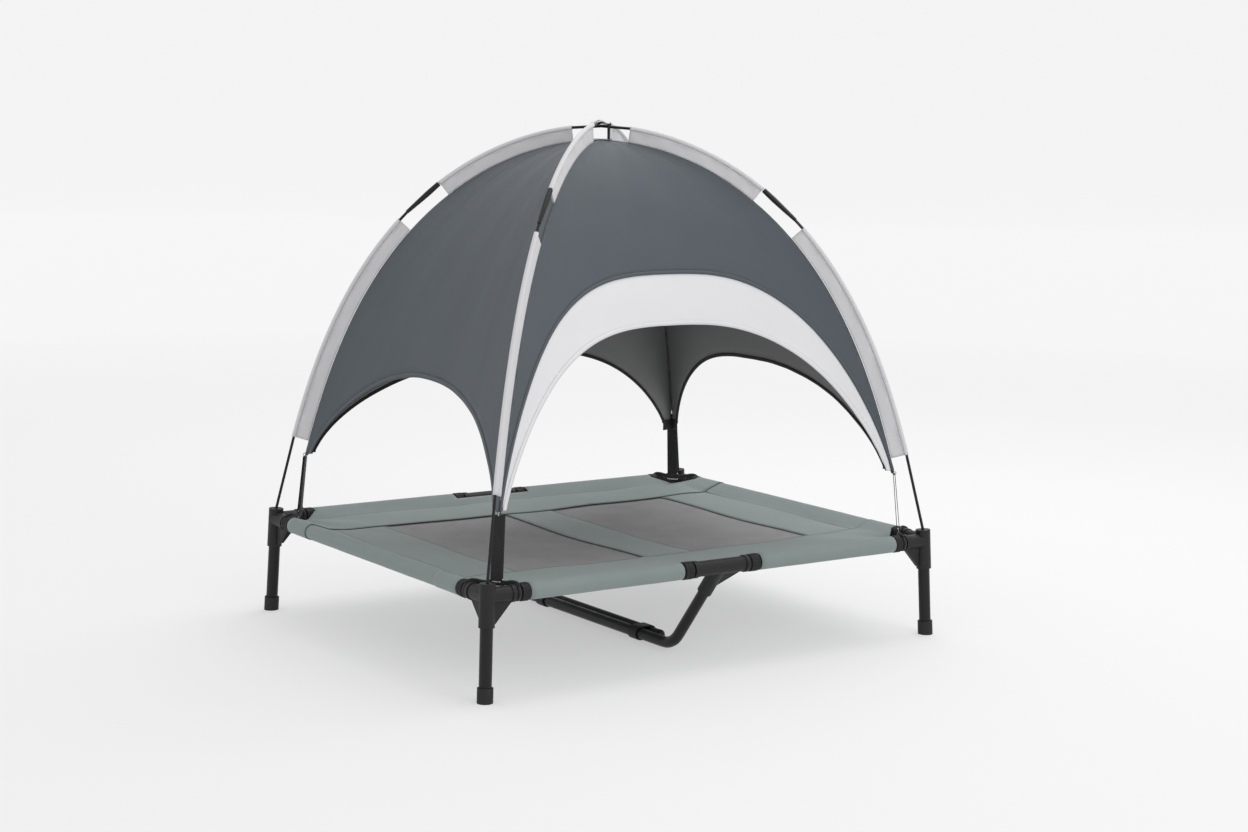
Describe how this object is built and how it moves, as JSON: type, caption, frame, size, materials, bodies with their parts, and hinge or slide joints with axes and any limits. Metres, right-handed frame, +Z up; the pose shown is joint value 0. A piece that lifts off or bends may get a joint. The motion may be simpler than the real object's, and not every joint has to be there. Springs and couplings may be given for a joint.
{
  "type": "raised_dog_bed_with_canopy",
  "caption": "Raised dog cot: steel tube frame, slung fabric bed with mesh windows, bent centre legs, and a lift-off dome canopy on crossed poles",
  "frame": {"origin": "on the floor, under the middle of the bed", "axes": "X along the long side of the bed, the white-banded doorway faces -Y, +Z up"},
  "size_m": [0.9308, 0.7788, 0.8938],
  "materials": {
    "moulding": "moulded dark grey plastic, fine texture",
    "tube": "black powder-coated steel tube, semi-gloss",
    "foot_rubber": "matt black rubber",
    "webbing": "woven black polypropylene",
    "bed_fabric": "coarse oxford weave, grey-green",
    "mesh": "open knitted mesh, warm grey",
    "canopy_fabric": "thin slate-blue polyester",
    "pale_fabric": "thin pale grey polyester",
    "fibreglass": "black fibreglass rod",
    "ring_metal": "plated steel wire"
  },
  "bodies": {
    "frame": {"corner_connector_front_left": "moulding", "leg_tube_front_left": "tube", "foot_cap_front_left": "foot_rubber", "corner_band_front_left": "webbing", "corner_connector_front_right": "moulding", "leg_tube_front_right": "tube", "foot_cap_front_right": "foot_rubber", "corner_band_front_right": "webbing", "corner_connector_back_left": "moulding", "leg_tube_back_left": "tube", "foot_cap_back_left": "foot_rubber", "corner_band_back_left": "webbing", "corner_connector_back_right": "moulding", "leg_tube_back_right": "tube", "foot_cap_back_right": "foot_rubber", "corner_band_back_right": "webbing", "front_rail_left": "tube", "front_rail_right": "tube", "back_rail_left": "tube", "back_rail_right": "tube", "left_rail": "tube", "right_rail": "tube", "centre_tee_front": "moulding", "centre_leg_front": "tube", "leg_clip_front": "moulding", "centre_tee_back": "moulding", "centre_leg_back": "tube", "leg_clip_back": "moulding", "bed_cover": "bed_fabric", "mesh_panel_left": "mesh", "mesh_panel_right": "mesh"},
    "canopy": {"canopy_front": "canopy_fabric", "canopy_back": "canopy_fabric", "canopy_left": "canopy_fabric", "canopy_right": "canopy_fabric", "doorway_band": "pale_fabric", "pole_lower_front_left": "fibreglass", "fin_lower_front_left": "pale_fabric", "fin_upper_front_left": "pale_fabric", "pole_lower_front_right": "fibreglass", "fin_lower_front_right": "pale_fabric", "fin_upper_front_right": "pale_fabric", "pole_lower_back_left": "fibreglass", "fin_lower_back_left": "pale_fabric", "fin_upper_back_left": "pale_fabric", "pole_lower_back_right": "fibreglass", "fin_lower_back_right": "pale_fabric", "fin_upper_back_right": "pale_fabric", "pole_upper_a": "fibreglass", "pole_upper_b": "fibreglass", "crown_tie": "webbing", "crown_cap": "pale_fabric", "strap_ring_front_left": "ring_metal", "tie_strap_front_left": "webbing", "strap_ring_front_right": "ring_metal", "tie_strap_front_right": "webbing", "strap_ring_back_left": "ring_metal", "tie_strap_back_left": "webbing", "strap_ring_back_right": "ring_metal", "tie_strap_back_right": "webbing"}
  },
  "joints": [
    {"name": "canopy_lift", "type": "slide", "parent": "frame", "child": "canopy", "axis": [0, 0, 1], "range_m": [0, 0.2]}
  ]
}
